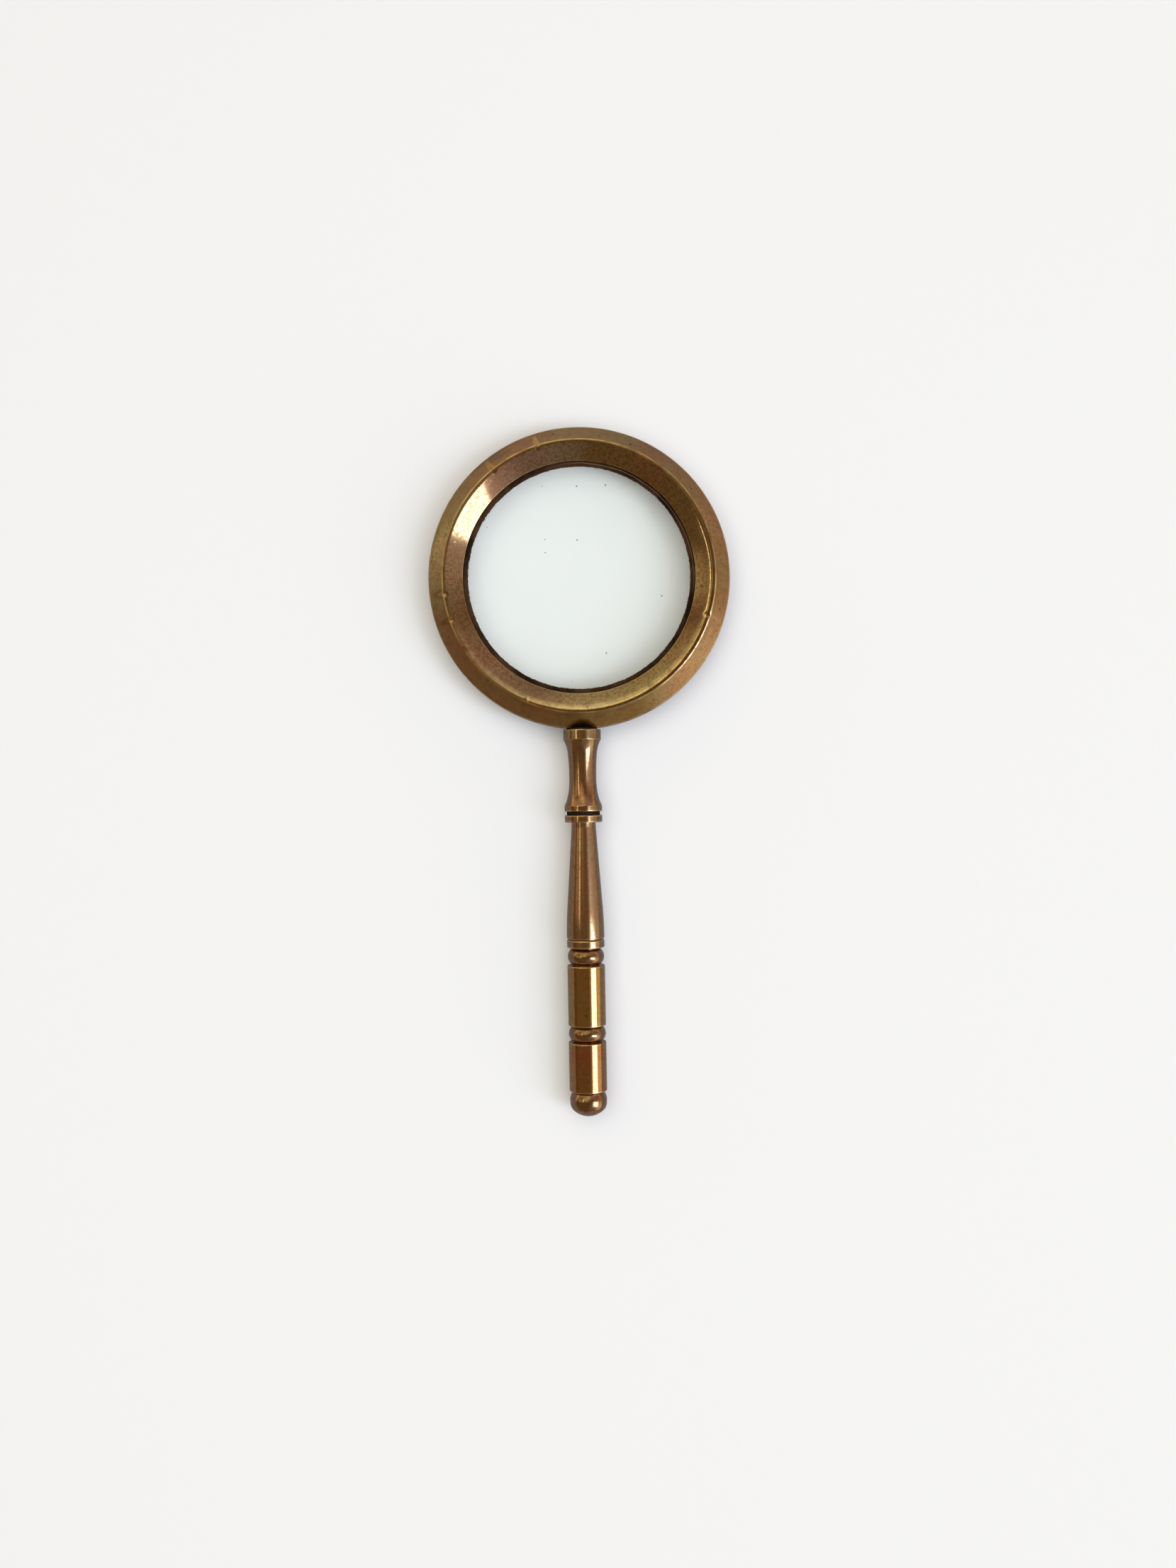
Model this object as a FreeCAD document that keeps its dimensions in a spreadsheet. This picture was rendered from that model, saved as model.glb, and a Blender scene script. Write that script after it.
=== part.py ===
import FreeCAD, Part
import math
import os
import Sketcher

# Magnifying glass: a bevelled brass ring round a double-convex lens, with a stacked turned handle.
# Frame: millimetres, origin under the middle of the whole glass, +Z up the lens axis, and the
# handle running towards -Y. The glass lies on the rear face of its ring at Z = 0.

SIZES = {
    # ring, radii from the lens axis and levels above the rest face
    "ring_radius": 38.1,
    "ring_height": 11.2,
    "ring_centre_y": 49.2,
    "wall_low": 3.4,
    "wall_high": 7.8,
    "crest_radius": 34.12,
    "edge_break": 0.12,
    "rear_bore_radius": 32.25,
    "rear_bore_depth": 4.4,
    "lens_seat_radius": 31.1,
    "lip_level": 7.9,
    "lip_radius": 29.3,
    # countersink in the front of the ring, cut a little off the lens axis
    "sink_foot_level": 8.9,
    "sink_crest_radius": 33.8,
    "sink_overrun": 1.0,
    "sink_shift_x": -0.39,
    "sink_shift_y": 0.23,
    # lens
    "lens_radius": 31.0,
    "lens_edge_low": 5.2,
    "lens_edge_high": 7.0,
    "lens_dome": 3.1,
    # gaskets and threaded retaining ring
    "gasket_inner_radius": 27.95,
    "gasket_edge_level": 7.6,
    "gasket_gap": 0.02,
    "rear_gasket_radius": 28.9,
    "rear_gasket_level": 4.75,
    "retainer_radius": 32.2,
    "retainer_inner_radius": 28.8,
    "retainer_low": 1.1,
    "retainer_high": 4.3,
    "retainer_bevel": 1.0,
    "slot_width": 2.4,
    "slot_depth": 1.2,
    # stud that joins the handle to the ring
    "handle_level": 5.6,
    "stud_radius": 2.0,
    "stud_hole_radius": 2.03,
    "stud_root": 33.3,
    "stud_end": 45.8,
    "thread_pitch": 0.7,
    "thread_depth": 0.43,
    "spot_face_radius": 4.0,
    "spot_face": 37.9,
    "seat_washer_radius": 3.84,
    # handle, stations measured from the lens axis along the handle
    "stock_radius": 4.7625,
    "break_radius": 4.6,
    "break_length": 0.16,
    "neck_start": 38.3,
    "neck_collar_end": 40.85,
    "neck_cove_radius": 3.69,
    "neck_cove_end": 44.3,
    "neck_cove_round": 8.75,
    "neck_waist_radius": 3.435,
    "neck_waist_start": 49.9,
    "neck_waist_round": 61.0,
    "neck_waist_end": 50.95,
    "neck_flare_radius": 3.82,
    "neck_flare_end": 54.9,
    "neck_flare_round": 20.5,
    "neck_foot_start": 57.65,
    "neck_foot_round": 10.9,
    "neck_end": 59.07,
    "stud_bore_end": 46.5,
    "stud_bore_radius": 2.06,
    "joint_washer_radius": 4.2,
    "collar_start": 60.03,
    "grip_start": 61.83,
    "grip_root_radius": 3.07,
    "grip_root_end": 63.0,
    "grip_taper_radius": 4.53,
    "grip_taper_end": 84.0,
    "grip_blend_end": 90.65,
    "grip_blend_round": 95.6,
    "groove_start": 91.17,
    "groove_radius": 4.46,
    "groove_end": 91.87,
    "upper_bead_start": 93.6,
    "bead_hub_radius": 3.5,
    "upper_bead_rise": 93.88,
    "upper_bead_fall": 97.96,
    "upper_bead_round": 2.42,
    "upper_barrel_start": 98.15,
    "lower_bead_start": 113.4,
    "lower_bead_rise": 113.46,
    "lower_bead_fall": 117.46,
    "lower_bead_hub_radius": 3.6,
    "lower_bead_round": 2.37,
    "lower_barrel_start": 117.6,
    "pommel_start": 130.0,
    "pommel_spigot_radius": 3.92,
    "pommel_spigot_end": 130.2,
    "pommel_girth_radius": 4.7,
    "pommel_girth_start": 132.05,
    "pommel_rise_round": 4.5,
    "pommel_girth_end": 133.2,
    "pommel_girth_end_radius": 4.66,
    "pommel_shoulder_radius": 3.7,
    "pommel_shoulder_end": 135.1,
    "pommel_shoulder_round": 2.64,
    "pommel_tip": 136.5,
    # rod that holds the handle stack together
    "rod_radius": 2.0,
    "rod_bore_radius": 2.05,
    "rod_start": 50.0,
    "rod_end": 133.9,
    "rod_bore_end": 134.2,
    "rod_chamfer": 0.3,
}

os.makedirs("parts", exist_ok=True)
doc = FreeCAD.newDocument("MagnifyingGlass")
sheet = doc.addObject("Spreadsheet::Sheet", "Dims")
for row, (alias, number) in enumerate(SIZES.items(), start=1):
    sheet.set(f"A{row}", alias)
    sheet.set(f"B{row}", str(number))
    sheet.setAlias(f"B{row}", alias)
doc.recompute()


class Size:
    """A length held as a number and as the spreadsheet formula that gives it."""

    def __init__(self, number, formula):
        self.number = number
        self.formula = formula

    def __add__(self, other):
        return Size(self.number + other.number, f"({self.formula} + {other.formula})")

    def __sub__(self, other):
        return Size(self.number - other.number, f"({self.formula} - {other.formula})")

    def __mul__(self, factor):
        return Size(self.number * factor, f"({self.formula} * {factor})")

    def __truediv__(self, other):
        return Size(self.number / other.number, f"({self.formula} / {other.formula})")


def dim(alias):
    """The named size from the spreadsheet."""
    return Size(SIZES[alias], f"Dims.{alias}")


ZERO = Size(0.0, "0")
RING_CENTRE = dim("ring_centre_y")
HANDLE_LEVEL = dim("handle_level")
STOCK = dim("stock_radius")
BREAK = dim("break_length")
AXIS_V = -2
AXIS_H = -1
RING_TURN = FreeCAD.Rotation()
HANDLE_TURN = FreeCAD.Rotation(FreeCAD.Vector(1, 0, 0), 90)


def dome_round(across, rise):
    """The arc radius of a dome that meets its axis squarely, from its half width and its rise."""
    return Size(
        (across.number**2 + rise.number**2) / (2 * rise.number),
        f"({across.formula}^2 + {rise.formula}^2) / (2 * {rise.formula})",
    )


def bind(item, prop, value):
    """Drive one property of an object from the spreadsheet."""
    item.setExpression(prop, value.formula)


def short_arc(start, end, round_radius):
    """The short arc between two points, and the numbers of its ends at start and at end.

    A plus radius bulges to the right of the way from start to end, and a minus one to the left.
    """
    radius = abs(round_radius)
    chord = end - start
    side = FreeCAD.Vector(-chord.y, chord.x, 0).normalize()
    reach = math.sqrt(radius**2 - (chord.Length / 2) ** 2)
    centre = start + chord * 0.5 + side * math.copysign(reach, round_radius)
    first, last = (start, end) if round_radius > 0 else (end, start)
    angles = [math.atan2(p.y - centre.y, p.x - centre.x) for p in (first, last)]
    if angles[1] < angles[0]:
        angles[1] += 2 * math.pi
    circle = Part.Circle(centre, FreeCAD.Vector(0, 0, 1), radius)
    ends = (1, 2) if round_radius > 0 else (2, 1)
    return Part.ArcOfCircle(circle, *angles), ends


def name_last(sketch, name, value):
    """Name the newest constraint of a sketch and drive it from the spreadsheet."""
    sketch.renameConstraint(sketch.ConstraintCount - 1, name)
    bind(sketch, f"Constraints.{name}", value)


def pin_point(sketch, number, edge, end, across, along):
    """Hold one corner of an outline at its two sizes, or on an axis where a size is nothing."""
    for kind, axis, name, value in (
        ("DistanceX", AXIS_V, "across", across),
        ("DistanceY", AXIS_H, "along", along),
    ):
        if value is ZERO:
            sketch.addConstraint(Sketcher.Constraint("PointOnObject", edge, end, axis))
        else:
            sketch.addConstraint(Sketcher.Constraint(kind, -1, 1, edge, end, value.number))
            name_last(sketch, f"{name}_{number}", value)


def outline_sketch(body, name, outline):
    """A closed, fully constrained outline on the XZ plane of a body.

    Each corner is (across, along) or (across, along, plus or minus, radius), which makes the
    edge that leads to it an arc: plus bulges out of the metal and minus hollows it.
    """
    sketch = body.newObject("Sketcher::SketchObject", name)
    plane = next(item for item in body.Origin.OriginFeatures if item.Role == "XZ_Plane")
    sketch.AttachmentSupport = [(plane, "")]
    sketch.MapMode = "FlatFace"
    points = [FreeCAD.Vector(corner[0].number, corner[1].number, 0) for corner in outline]
    ends = []
    for number, corner in enumerate(outline):
        start, end = points[number - 1], points[number]
        if len(corner) == 2:
            edge, edge_ends = Part.LineSegment(start, end), (1, 2)
        else:
            edge, edge_ends = short_arc(start, end, corner[2] * corner[3].number)
        sketch.addGeometry(edge, False)
        ends.append(edge_ends)
    for number, corner in enumerate(outline):
        sketch.addConstraint(
            Sketcher.Constraint("Coincident", number - 1 if number else len(outline) - 1,
                                ends[number - 1][1], number, ends[number][0])
        )
        pin_point(sketch, number, number, ends[number][1], corner[0], corner[1])
        if len(corner) == 4:
            sketch.addConstraint(Sketcher.Constraint("Radius", number, corner[3].number))
            name_last(sketch, f"round_{number}", corner[3])
    return sketch


def turned(label, outline, start=None):
    """A body turned about its own Z axis, put on the lens axis or, given its start, in the handle.

    In the handle the corners' second sizes are stations from the lens axis.
    """
    body = doc.addObject("PartDesign::Body", label)
    if start is None:
        base_y, base_z, rotation = RING_CENTRE, ZERO, RING_TURN
    else:
        base_y, base_z, rotation = RING_CENTRE - start, HANDLE_LEVEL, HANDLE_TURN
        outline = [
            (corner[0], ZERO if corner[1] is start else corner[1] - start, *corner[2:])
            for corner in outline
        ]
    body.Placement = FreeCAD.Placement(FreeCAD.Vector(0, base_y.number, base_z.number), rotation)
    bind(body, "Placement.Base.y", base_y)
    bind(body, "Placement.Base.z", base_z)
    turn = body.newObject("PartDesign::Revolution", f"{label}_turning")
    turn.Profile = outline_sketch(body, f"{label}_outline", outline)
    turn.ReferenceAxis = (turn.Profile[0], ["V_Axis"])
    turn.Angle = 360
    body.Tip = turn
    doc.recompute()
    return body


def cut(body, kind, name, placement, **sizes):
    """Take a primitive out of a body, and check that it removed metal."""
    before = body.Shape.Volume
    tool = body.newObject(f"PartDesign::Subtractive{kind}", name)
    tool.Placement = placement
    for prop, value in sizes.items():
        bind(tool, prop, value)
    body.Tip = tool
    doc.recompute()
    if not body.Shape.Volume < before:
        raise RuntimeError(f"{name} removed nothing from {body.Label}")
    return tool


def barrel(label, start, end, inner):
    """A plain turned length of handle stock with both outer edges broken."""
    edge = dim("break_radius")
    outline = [
        (inner, start),
        (edge, start),
        (STOCK, start + BREAK),
        (STOCK, end - BREAK),
        (edge, end),
        (inner, end),
    ]
    return turned(label, outline, start)


def bead(label, start, end, rise, fall, hub, bulge):
    """A round bead on a thinner hub."""
    inner = dim("rod_bore_radius")
    outline = [
        (inner, start),
        (hub, start),
        (hub, rise),
        (hub, fall, 1, bulge),
        (hub, end),
        (inner, end),
    ]
    return turned(label, outline, start)


# Ring: outer wall between two bevels, a bore for the retaining ring, the lens seat and its lip.
wall, crest, nick = dim("ring_radius"), dim("crest_radius"), dim("edge_break")
lens_frame = turned(
    "lens_frame",
    [
        (dim("rear_bore_radius"), ZERO),
        (crest, ZERO),
        (wall - nick, dim("wall_low") - nick),
        (wall, dim("wall_low") + nick),
        (wall, dim("wall_high") - nick),
        (wall - nick, dim("wall_high") + nick),
        (crest, dim("ring_height")),
        (dim("lip_radius"), dim("ring_height")),
        (dim("lip_radius"), dim("lip_level")),
        (dim("lens_seat_radius"), dim("lip_level")),
        (dim("lens_seat_radius"), dim("rear_bore_depth")),
        (dim("rear_bore_radius"), dim("rear_bore_depth")),
    ],
)
rise = dim("ring_height") - dim("sink_foot_level")
flare = (dim("sink_crest_radius") - dim("lip_radius")) / rise
sink_low = dim("lip_level")
sink_height = dim("ring_height") - sink_low + dim("sink_overrun")
sink_foot = dim("sink_foot_level") - sink_low
foot_radius = dim("lip_radius").number - flare.number * sink_foot.number
top_radius = foot_radius + flare.number * sink_height.number
lens_frame_sink = cut(
    lens_frame,
    "Cone",
    "countersink",
    FreeCAD.Placement(
        FreeCAD.Vector(SIZES["sink_shift_x"], SIZES["sink_shift_y"], sink_low.number), RING_TURN
    ),
    Radius1=Size(
        foot_radius,
        f"{dim('lip_radius').formula} - {flare.formula} * {sink_foot.formula}",
    ),
    Radius2=Size(
        top_radius,
        f"{dim('lip_radius').formula} + {flare.formula} * ({sink_height.formula} - {sink_foot.formula})",
    ),
    Height=sink_height,
)
for prop, alias in (("x", "sink_shift_x"), ("y", "sink_shift_y"), ("z", "lip_level")):
    bind(lens_frame_sink, f"Placement.Base.{prop}", dim(alias))
for name, radius, foot in (
    ("stud_hole", dim("stud_hole_radius"), dim("stud_root")),
    ("spot_face_cut", dim("spot_face_radius"), dim("spot_face")),
):
    hole = cut(
        lens_frame,
        "Cylinder",
        name,
        FreeCAD.Placement(FreeCAD.Vector(0, -foot.number, HANDLE_LEVEL.number), HANDLE_TURN),
        Radius=radius,
        Height=wall - foot + dim("sink_overrun"),
    )
    bind(hole, "Placement.Base.y", ZERO - foot)
    bind(hole, "Placement.Base.z", HANDLE_LEVEL)

# Lens: two shallow domes on a plain ground edge.
lens_radius, dome = dim("lens_radius"), dim("lens_dome")
curve = dome_round(lens_radius, dome)
turned(
    "lens",
    [
        (ZERO, dim("lens_edge_low") - dome),
        (lens_radius, dim("lens_edge_low"), 1, curve),
        (lens_radius, dim("lens_edge_high")),
        (ZERO, dim("lens_edge_high") + dome, 1, curve),
    ],
)

# Gaskets: wedge-shaped fibre rings that fill the room before and behind the lens edge.
gap = dim("gasket_gap")
turned(
    "front_gasket",
    [
        (dim("gasket_inner_radius"), dim("gasket_edge_level") + gap),
        (lens_radius, dim("lens_edge_high") + gap),
        (lens_radius, dim("lip_level")),
        (dim("gasket_inner_radius"), dim("lip_level")),
    ],
)
turned(
    "rear_gasket",
    [
        (dim("rear_gasket_radius"), dim("retainer_high")),
        (lens_radius, dim("retainer_high")),
        (lens_radius, dim("lens_edge_low") - gap),
        (dim("rear_gasket_radius"), dim("rear_gasket_level")),
    ],
)

# Retaining ring: screwed into the rear bore, with two slots for a pin spanner.
bevel = dim("retainer_bevel")
retaining_ring = turned(
    "retaining_ring",
    [
        (dim("retainer_inner_radius") + bevel, dim("retainer_low")),
        (dim("retainer_radius"), dim("retainer_low")),
        (dim("retainer_radius"), dim("retainer_high")),
        (dim("retainer_inner_radius"), dim("retainer_high")),
        (dim("retainer_inner_radius"), dim("retainer_low") + bevel),
    ],
)
slot_length = (dim("retainer_radius") + dim("slot_width")) * 2
slot = cut(
    retaining_ring,
    "Box",
    "spanner_slots",
    FreeCAD.Placement(
        FreeCAD.Vector(
            -slot_length.number / 2,
            -SIZES["slot_width"] / 2,
            SIZES["retainer_low"],
        ),
        RING_TURN,
    ),
    Length=slot_length,
    Width=dim("slot_width"),
    Height=dim("slot_depth"),
)
bind(slot, "Placement.Base.x", slot_length * -0.5)
bind(slot, "Placement.Base.y", dim("slot_width") * -0.5)
bind(slot, "Placement.Base.z", dim("retainer_low"))

# Stud: fixed in the ring, threaded where the handle screws on.
stud_start = dim("stud_root")
stud_radius, pitch = dim("stud_radius"), dim("thread_pitch")
frame_stud = turned(
    "frame_stud",
    [
        (ZERO, stud_start),
        (stud_radius, stud_start),
        (stud_radius, dim("stud_end") - dim("rod_chamfer")),
        (stud_radius - dim("rod_chamfer"), dim("stud_end")),
        (ZERO, dim("stud_end")),
    ],
    stud_start,
)
plain = dim("neck_start") - stud_start
thread = outline_sketch(
    frame_stud,
    "thread_section",
    [
        (stud_radius - dim("thread_depth"), plain + pitch * 0.5),
        (stud_radius + dim("thread_depth") * 0.25, plain),
        (stud_radius + dim("thread_depth") * 0.25, plain + pitch * 0.9),
    ],
)
helix = frame_stud.newObject("PartDesign::SubtractiveHelix", "thread_cut")
helix.Profile = thread
helix.ReferenceAxis = (thread, ["V_Axis"])
helix.Mode = 0
bind(helix, "Pitch", pitch)
bind(helix, "Height", dim("stud_end") - dim("neck_start"))
frame_stud.Tip = helix
doc.recompute()

# Handle stack, from the ring outwards. Every piece but the neck and the tip is bored through.
bore = dim("rod_bore_radius")
spot, neck, neck_end = dim("spot_face"), dim("neck_start"), dim("neck_end")
turned(
    "seat_washer",
    [
        (dim("stud_bore_radius"), spot),
        (dim("seat_washer_radius"), spot),
        (dim("seat_washer_radius"), neck),
        (dim("stud_bore_radius"), neck),
    ],
    spot,
)
turned(
    "neck_ferrule",
    [
        (dim("stud_bore_radius"), neck),
        (dim("break_radius"), neck),
        (STOCK, neck + BREAK),
        (STOCK, dim("neck_collar_end")),
        (dim("neck_cove_radius"), dim("neck_cove_end"), -1, dim("neck_cove_round")),
        (dim("neck_waist_radius"), dim("neck_waist_start"), -1, dim("neck_waist_round")),
        (dim("neck_waist_radius"), dim("neck_waist_end")),
        (dim("neck_flare_radius"), dim("neck_flare_end"), -1, dim("neck_flare_round")),
        (STOCK, dim("neck_foot_start"), -1, dim("neck_foot_round")),
        (STOCK, neck_end - BREAK),
        (dim("break_radius"), neck_end),
        (bore, neck_end),
        (bore, dim("rod_start")),
        (ZERO, dim("rod_start")),
        (ZERO, dim("stud_bore_end")),
        (dim("stud_bore_radius"), dim("stud_bore_end")),
    ],
    neck,
)
turned(
    "joint_washer",
    [
        (bore, neck_end),
        (dim("joint_washer_radius"), neck_end),
        (dim("joint_washer_radius"), dim("collar_start")),
        (bore, dim("collar_start")),
    ],
    neck_end,
)
grip, grip_end = dim("grip_start"), dim("upper_bead_start")
barrel("grip_collar", dim("collar_start"), grip, bore)
turned(
    "tapered_grip",
    [
        (bore, grip),
        (dim("grip_root_radius"), grip),
        (dim("grip_root_radius"), dim("grip_root_end")),
        (dim("grip_taper_radius"), dim("grip_taper_end")),
        (STOCK, dim("grip_blend_end"), 1, dim("grip_blend_round")),
        (STOCK, dim("groove_start")),
        (dim("groove_radius"), (dim("groove_start") + dim("groove_end")) * 0.5),
        (STOCK, dim("groove_end")),
        (STOCK, grip_end - BREAK),
        (dim("break_radius"), grip_end),
        (bore, grip_end),
    ],
    grip,
)
upper_barrel, lower_barrel = dim("upper_barrel_start"), dim("lower_barrel_start")
bead(
    "upper_bead",
    grip_end,
    upper_barrel,
    dim("upper_bead_rise"),
    dim("upper_bead_fall"),
    dim("bead_hub_radius"),
    dim("upper_bead_round"),
)
barrel("upper_barrel", upper_barrel, dim("lower_bead_start"), bore)
bead(
    "lower_bead",
    dim("lower_bead_start"),
    lower_barrel,
    dim("lower_bead_rise"),
    dim("lower_bead_fall"),
    dim("lower_bead_hub_radius"),
    dim("lower_bead_round"),
)
pommel = dim("pommel_start")
barrel("lower_barrel", lower_barrel, pommel, bore)
crown = dim("pommel_tip") - dim("pommel_shoulder_end")
turned(
    "pommel",
    [
        (bore, pommel),
        (dim("pommel_spigot_radius"), pommel),
        (dim("pommel_spigot_radius"), dim("pommel_spigot_end")),
        (dim("pommel_girth_radius"), dim("pommel_girth_start"), 1, dim("pommel_rise_round")),
        (dim("pommel_girth_end_radius"), dim("pommel_girth_end")),
        (
            dim("pommel_shoulder_radius"),
            dim("pommel_shoulder_end"),
            1,
            dim("pommel_shoulder_round"),
        ),
        (ZERO, dim("pommel_tip"), 1, dome_round(dim("pommel_shoulder_radius"), crown)),
        (ZERO, dim("rod_bore_end")),
        (bore, dim("rod_bore_end")),
    ],
    pommel,
)
rod_start, rod_end, rod = dim("rod_start"), dim("rod_end"), dim("rod_radius")
turned(
    "tie_rod",
    [
        (ZERO, rod_start),
        (rod - dim("rod_chamfer"), rod_start),
        (rod, rod_start + dim("rod_chamfer")),
        (rod, rod_end - dim("rod_chamfer")),
        (rod - dim("rod_chamfer"), rod_end),
        (ZERO, rod_end),
    ],
    rod_start,
)

doc.recompute()
for item in doc.Objects:
    if "Invalid" in item.State or "Error" in item.State:
        raise RuntimeError(f"{item.Label} failed: {item.State}")
for body in doc.findObjects("PartDesign::Body"):
    if body.Shape.isNull() or not body.Shape.isValid() or len(body.Shape.Solids) != 1:
        raise RuntimeError(f"{body.Label} is not one good solid")
    body.Shape.exportStep(os.path.join("parts", f"{body.Label}.step"))
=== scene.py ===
"""The looks of the magnifying glass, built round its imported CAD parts, in metres and in their frame."""

import math

import bmesh
import bpy
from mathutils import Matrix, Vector, noise


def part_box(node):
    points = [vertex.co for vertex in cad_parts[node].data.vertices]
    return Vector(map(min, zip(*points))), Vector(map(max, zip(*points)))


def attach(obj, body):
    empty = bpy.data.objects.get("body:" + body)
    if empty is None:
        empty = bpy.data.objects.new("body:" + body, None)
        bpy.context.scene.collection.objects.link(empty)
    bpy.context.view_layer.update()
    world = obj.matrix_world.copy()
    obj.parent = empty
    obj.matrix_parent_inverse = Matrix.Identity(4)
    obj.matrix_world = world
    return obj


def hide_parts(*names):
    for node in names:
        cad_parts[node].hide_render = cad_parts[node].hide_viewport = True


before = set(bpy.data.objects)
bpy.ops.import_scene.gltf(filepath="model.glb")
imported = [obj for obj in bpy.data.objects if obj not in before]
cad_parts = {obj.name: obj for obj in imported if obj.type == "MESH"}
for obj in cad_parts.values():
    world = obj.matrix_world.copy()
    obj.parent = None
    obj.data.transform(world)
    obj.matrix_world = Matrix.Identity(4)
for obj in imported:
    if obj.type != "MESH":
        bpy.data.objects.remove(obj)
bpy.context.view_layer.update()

MM = 0.001

# Places that the CAD parts give, in millimetres: levels over the table, and stations along the
# handle, counted from the lens axis.
RING_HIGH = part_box("lens_frame")[1] / MM
LENS_LOW, LENS_HIGH = (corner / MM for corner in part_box("lens"))
RING_CENTRE_Y = (LENS_LOW.y + LENS_HIGH.y) / 2
RING_RADIUS = RING_HIGH.y - RING_CENTRE_Y
RING_HEIGHT = RING_HIGH.z
LENS_RADIUS = LENS_HIGH.y - RING_CENTRE_Y
HANDLE_LEVEL = sum(corner.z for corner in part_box("tie_rod")) / 2 / MM


def span(node):
    """Where a CAD part of the handle starts and ends along it, and its largest radius."""
    low, high = (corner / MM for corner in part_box(node))
    return RING_CENTRE_Y - high.y, RING_CENTRE_Y - low.y, high.z - HANDLE_LEVEL


# ---------------------------------------------------------------- turned meshes

# Round a corner the mark of wear and painted light is full on the bend, RIM_LIGHT_AND_WEAR at RIM_REACH
# from it and gone at LIGHT_AND_WEAR_REACH, in millimetres. On an edge it brings rubbed bare brass, with
# painted highlight on the ring's crest and brow; in a nook it brings dirt and painted shade. A corner
# takes up at most EDGE_SHARE of the shorter edge beside it, and its bend takes up at most BEND_SHARE of
# that. Along an arc the mark passes from one end's to the other's as a power of the way. Points nearer
# to one another than SAME_POINT millimetres are one.
LIGHT_AND_WEAR_REACH, RIM_REACH, RIM_LIGHT_AND_WEAR = 0.35, 0.03, 0.7
EDGE_SHARE, BEND_SHARE = 0.45, 0.6
ARC_LIGHT_AND_WEAR_FADE = 0.25
SAME_POINT = 0.001


def corner(across, along, ease=0.0, arc=0.0, wear_and_painted_light=0.0):
    """A corner of an outline, in millimetres.

    It has how round it is, the radius of the arc that leads to it, and its mark of wear and painted
    light.
    """
    return {"at": Vector((across, along)), "ease": ease, "arc": arc, "wear_and_painted_light": wear_and_painted_light}


def arc_between(start, end, arc, pieces):
    """Points inside the short arc from start to end: plus bulges outwards, minus hollows."""
    chord = end - start
    side = Vector((-chord.y, chord.x)).normalized()
    reach = math.sqrt(max(arc**2 - (chord.length / 2) ** 2, 0.0))
    centre = start + chord / 2 + side * math.copysign(reach, arc)
    spoke = start - centre
    turn = 2 * math.asin(min(chord.length / 2 / abs(arc), 1.0)) * math.copysign(1, arc)
    points = []
    for step in range(1, pieces):
        angle = turn * step / pieces
        cos, sin = math.cos(angle), math.sin(angle)
        points.append(centre + Vector((spoke.x * cos - spoke.y * sin, spoke.x * sin + spoke.y * cos)))
    return points


def eased(before, at, after, ease, rubbed_and_highlit, pieces=4):
    """Points that round one corner off, with their wear and painted light: 1 on an edge, -1 in a nook."""
    way_in, way_out = at - before, after - at
    turn = way_in.angle_signed(way_out, 0.0)
    room = EDGE_SHARE * min(way_in.length, way_out.length)
    cut = min(ease * math.tan(abs(turn) / 2), room * BEND_SHARE)
    far = min(cut + LIGHT_AND_WEAR_REACH, room)
    near = min(cut + RIM_REACH, (cut + far) / 2)
    way_in.normalize()
    way_out.normalize()
    start, end = at - way_in * cut, at + way_out * cut
    wear_and_painted_light = (rubbed_and_highlit or 1.0) if turn < 0 else -1.0
    points = [(at - way_in * far, 0.0), (at - way_in * near, RIM_LIGHT_AND_WEAR * wear_and_painted_light)]
    for step in range(pieces + 1):
        part = step / pieces
        points.append((start * (1 - part) ** 2 + at * 2 * part * (1 - part) + end * part**2, wear_and_painted_light))
    points += [(at + way_out * near, RIM_LIGHT_AND_WEAR * wear_and_painted_light), (at + way_out * far, 0.0)]
    return points


def outline(corners, arc_pieces=14):
    """A closed outline as (across, along, wear and painted light) points."""
    path = []
    for number, item in enumerate(corners):
        if item["arc"]:
            last = corners[number - 1]
            gain = item["wear_and_painted_light"] - last["wear_and_painted_light"]
            for step, point in enumerate(arc_between(last["at"], item["at"], item["arc"], arc_pieces), 1):
                path.append((point, 0.0, last["wear_and_painted_light"] + gain * (step / arc_pieces) ** ARC_LIGHT_AND_WEAR_FADE))
        path.append((item["at"], item["ease"], item["wear_and_painted_light"]))
    points = []
    for number, (point, ease, wear_and_painted_light) in enumerate(path):
        if ease:
            points += eased(path[number - 1][0], point, path[(number + 1) % len(path)][0], ease, wear_and_painted_light)
        else:
            points.append((point, wear_and_painted_light))
    return [(max(point.x, 0.0), point.y, wear_and_painted_light) for point, wear_and_painted_light in points]


def ring_place(across, along, turn):
    """A point of something turned about the lens axis."""
    return (across * math.cos(turn), RING_CENTRE_Y + across * math.sin(turn), along)


def handle_place(across, along, turn):
    """A point of something turned about the handle's axis."""
    return (across * math.cos(turn), RING_CENTRE_Y - along, HANDLE_LEVEL + across * math.sin(turn))


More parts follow.
